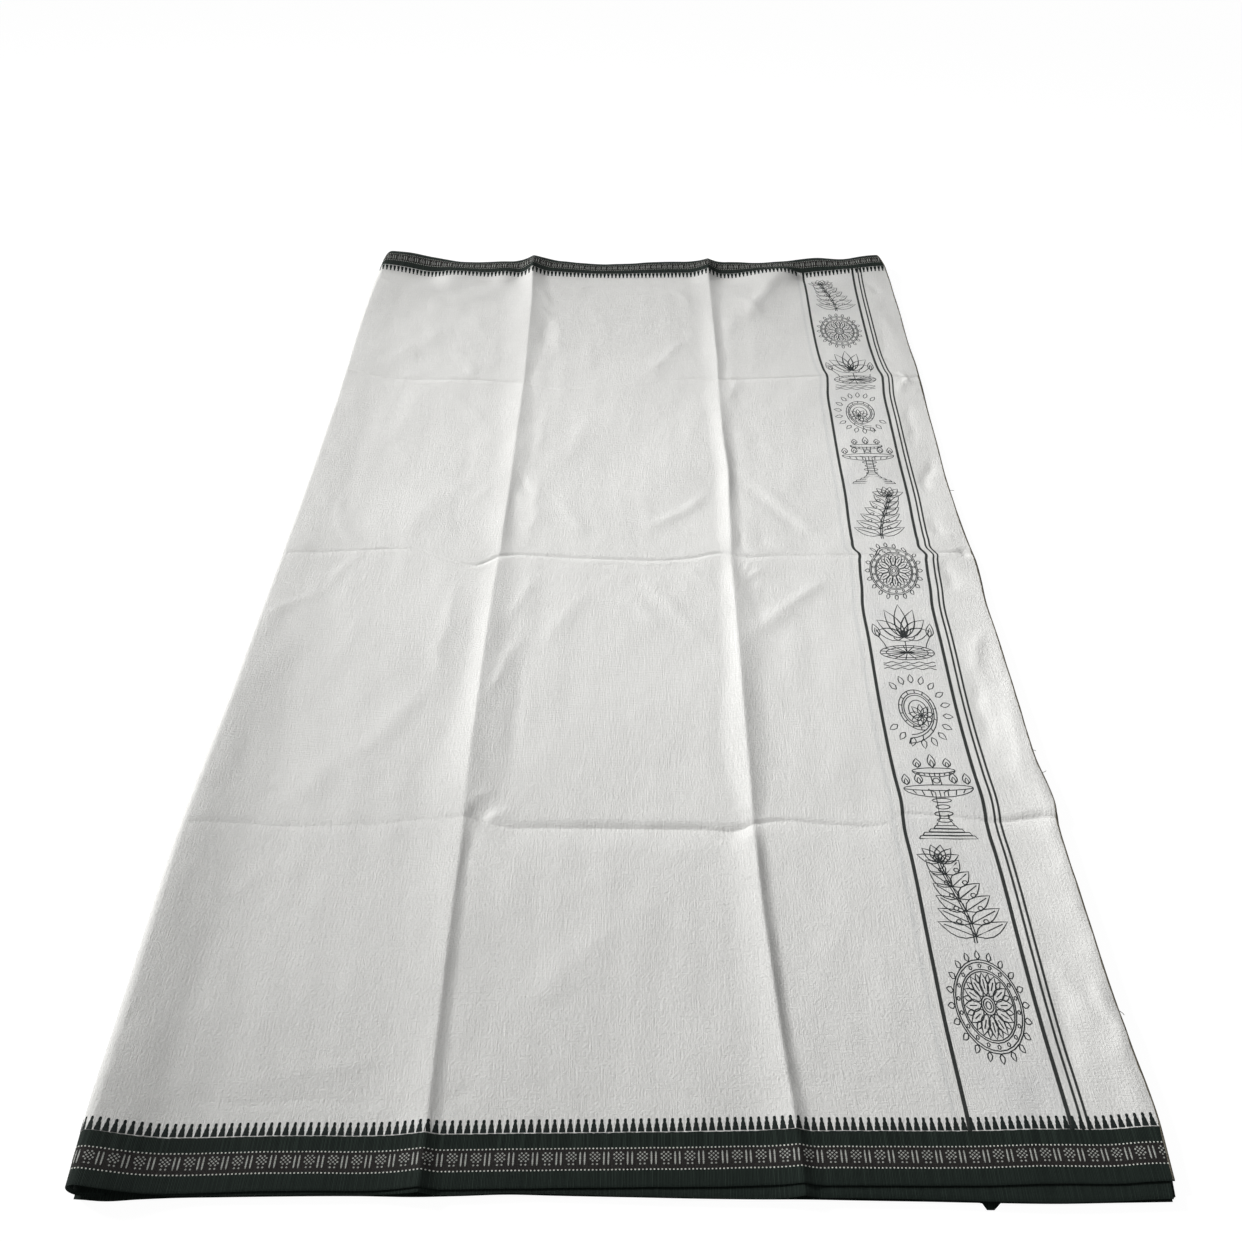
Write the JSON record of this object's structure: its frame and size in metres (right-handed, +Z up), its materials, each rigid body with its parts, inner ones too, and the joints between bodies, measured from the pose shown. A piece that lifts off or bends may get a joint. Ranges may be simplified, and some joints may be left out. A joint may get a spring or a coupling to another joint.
{
  "type": "folded dhoti cloth",
  "caption": "Folded cotton dhoti cloth lying flat, white with dark woven borders on both selvedges and a printed band by its cut end.",
  "frame": {"origin": "on the surface the cloth lies on, under the middle of the cloth's bounding box", "axes": "+X along the near selvedge from the fold to the cut ends, +Y across the loom width away from that selvedge, +Z up from the surface"},
  "size_m": [0.6804, 1.2443, 0.0203],
  "materials": {
    "ground_cotton": "plain woven white cotton, matt, with soft creases",
    "printed_ground": "plain woven white cotton, matt, with a band of dark stripes and fine line motifs by the cut end",
    "kara_cotton": "dark bottle green woven cotton with pale extra-weft figures and pointed teeth along its inner edge"
  },
  "bodies": {
    "root": {"folded_layers": "ground_cotton", "top_ground": "printed_ground", "top_kara_near": "kara_cotton", "top_kara_far": "kara_cotton", "under_kara_near": "kara_cotton"}
  },
  "joints": []
}
